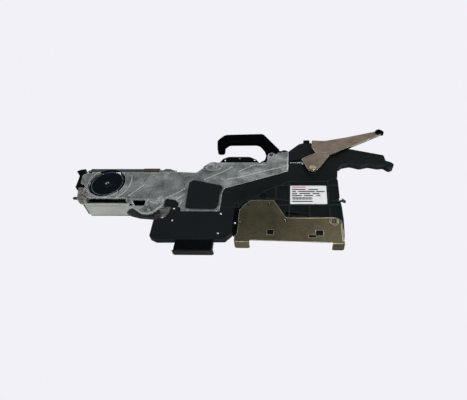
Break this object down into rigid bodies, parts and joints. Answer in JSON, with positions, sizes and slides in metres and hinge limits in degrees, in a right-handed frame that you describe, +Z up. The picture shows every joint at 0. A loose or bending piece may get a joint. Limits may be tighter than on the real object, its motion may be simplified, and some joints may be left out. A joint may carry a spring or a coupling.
{
  "type": "smt tape feeder",
  "caption": "Electric feeder that carries component tape from a rear entry to a toothed feed wheel under a hinged guide, with bank connector, clamp lever and carrying handle.",
  "frame": {"origin": "middle of the seat face under the bank connector, on the plane of the near wall", "axes": "+X from the pick-up end to the grip, +Y from the near wall to the far wall, +Z up as it stands in the feeder bank"},
  "size_m": [0.5594, 0.056, 0.2677],
  "materials": {
    "cast": "die-cast, bead-blasted",
    "cast_far": "die-cast",
    "cover_sheet": "satin grey paint",
    "steel": "ground",
    "plate_steel": "brushed, yellow passivated",
    "lever_steel": "brushed stainless",
    "black_plastic": "moulded, fine grain",
    "cover_plastic": "moulded, fine grain",
    "grip_plastic": "moulded, fine grain",
    "wheel_black": "anodised black",
    "gear_plastic": "natural acetal",
    "brass": "machined",
    "guide_steel": "dark grey",
    "liner_bronze": "aged bronze",
    "phosphate": "phosphated steel",
    "board": "circuit board",
    "gold": "gold flash",
    "label": "printed film",
    "key_light": "moulded key",
    "key_grey": "moulded key",
    "lens": "clear green lens",
    "rubber": "soft rubber"
  },
  "bodies": {
    "root": {"main_frame": "cast", "far_frame": "cast_far", "bottom_rail": "cover_sheet", "bottom_cover": "cover_sheet", "front_block": "cast", "front_pin": "steel", "exit_guide": "black_plastic", "guide_pins": "steel", "wheel_axle": "steel", "idler_axle": "steel", "motor": "steel", "motor_bracket": "cast_far", "motor_cover": "cover_plastic", "takeup_housing": "cast", "takeup_pins": "steel", "tape_channel": "cast_far", "channel_roof": "cast_far", "board_cover": "cover_plastic", "circuit_board": "board", "cover_screws": "steel", "connector_block": "black_plastic", "contact_pins": "gold", "bank_shoe": "phosphate", "small_cover": "cover_plastic", "leaf_spring": "steel", "hook_pin": "steel", "side_plate": "plate_steel", "plate_screws": "steel", "post": "phosphate", "rear_panel": "grip_plastic", "rear_far_cover": "grip_plastic", "label_plate": "label", "grip": "grip_plastic", "lever_pin": "steel", "return_spring": "steel", "rear_cover": "cover_plastic", "latch_knob": "steel", "tape_hook": "phosphate", "carry_handle": "black_plastic", "handle_screws": "steel", "key_panel": "black_plastic", "status_lens": "lens", "panel_screws": "steel"},
    "guide": {"tape_guide": "guide_steel", "guide_liner": "liner_bronze"},
    "latch": {"guide_latch": "steel"},
    "wheel": {"feed_wheel": "wheel_black", "wheel_gear": "gear_plastic", "wheel_screw": "steel"},
    "idler": {"idler_gear": "gear_plastic"},
    "motor_pinion": {"pinion": "brass"},
    "takeup_lower": {"roller_lower": "rubber"},
    "takeup_upper": {"roller_upper": "rubber"},
    "hook": {"clamp_hook": "phosphate"},
    "clamp_lever": {"lever": "lever_steel", "lever_cap": "black_plastic"},
    "rod": {"link_rod": "steel"},
    "forward_key": {"key_forward": "key_light"},
    "back_key": {"key_back": "key_grey"},
    "lock_button": {"release_button": "black_plastic"}
  },
  "joints": [
    {"name": "wheel_spin", "type": "hinge", "parent": "root", "child": "wheel", "pos_m": [-0.1695, 0, 0.13885], "axis": [0, -1, 0], "continuous": true},
    {"name": "idler_spin", "type": "hinge", "parent": "root", "child": "idler", "pos_m": [-0.1336, 0, 0.1299], "axis": [0, -1, 0], "continuous": true},
    {"name": "pinion_spin", "type": "hinge", "parent": "root", "child": "motor_pinion", "pos_m": [-0.11213, 0, 0.12612], "axis": [0, -1, 0], "continuous": true},
    {"name": "takeup_lower_spin", "type": "hinge", "parent": "root", "child": "takeup_lower", "pos_m": [0.014, 0, 0.158], "axis": [0, -1, 0], "continuous": true},
    {"name": "takeup_upper_spin", "type": "hinge", "parent": "root", "child": "takeup_upper", "pos_m": [0.014, 0, 0.17235], "axis": [0, -1, 0], "continuous": true},
    {"name": "guide_lift", "type": "hinge", "parent": "root", "child": "guide", "pos_m": [-0.208, 0, 0.1675], "axis": [0, -1, 0], "range_deg": [0, 60]},
    {"name": "latch_turn", "type": "hinge", "parent": "root", "child": "latch", "pos_m": [-0.056, 0, 0.166], "axis": [0, 1, 0], "range_deg": [0, 70]},
    {"name": "lever_squeeze", "type": "hinge", "parent": "root", "child": "clamp_lever", "pos_m": [0.183, 0, 0.167], "axis": [0, 1, 0], "range_deg": [0, 15], "stiffness_Nm_per_rad": 0.9, "springref_deg": -28.65},
    {"name": "rod_pull", "type": "slide", "parent": "root", "child": "rod", "axis": [1, 0, 0], "range_m": [0, 0.0062]},
    {"name": "hook_open", "type": "hinge", "parent": "root", "child": "hook", "pos_m": [-0.066, 0, 0.068], "axis": [0, -1, 0], "range_deg": [0, 10.5]},
    {"name": "forward_press", "type": "slide", "parent": "root", "child": "forward_key", "axis": [0, 0, -1], "range_m": [0, 0.001], "stiffness_N_per_m": 400},
    {"name": "back_press", "type": "slide", "parent": "root", "child": "back_key", "axis": [0, 0, -1], "range_m": [0, 0.001], "stiffness_N_per_m": 400},
    {"name": "lock_press", "type": "slide", "parent": "root", "child": "lock_button", "axis": [0, 0, -1], "range_m": [0, 0.0045], "stiffness_N_per_m": 300}
  ],
  "couplings": [
    {"joint": "idler_spin", "follows": "wheel_spin", "ratio": -1.1905},
    {"joint": "pinion_spin", "follows": "wheel_spin", "ratio": 4.1667},
    {"joint": "takeup_upper_spin", "follows": "takeup_lower_spin", "ratio": -1},
    {"joint": "rod_pull", "follows": "lever_squeeze", "m_per_rad": 0.02215},
    {"joint": "hook_open", "follows": "lever_squeeze", "ratio": 0.66667}
  ]
}
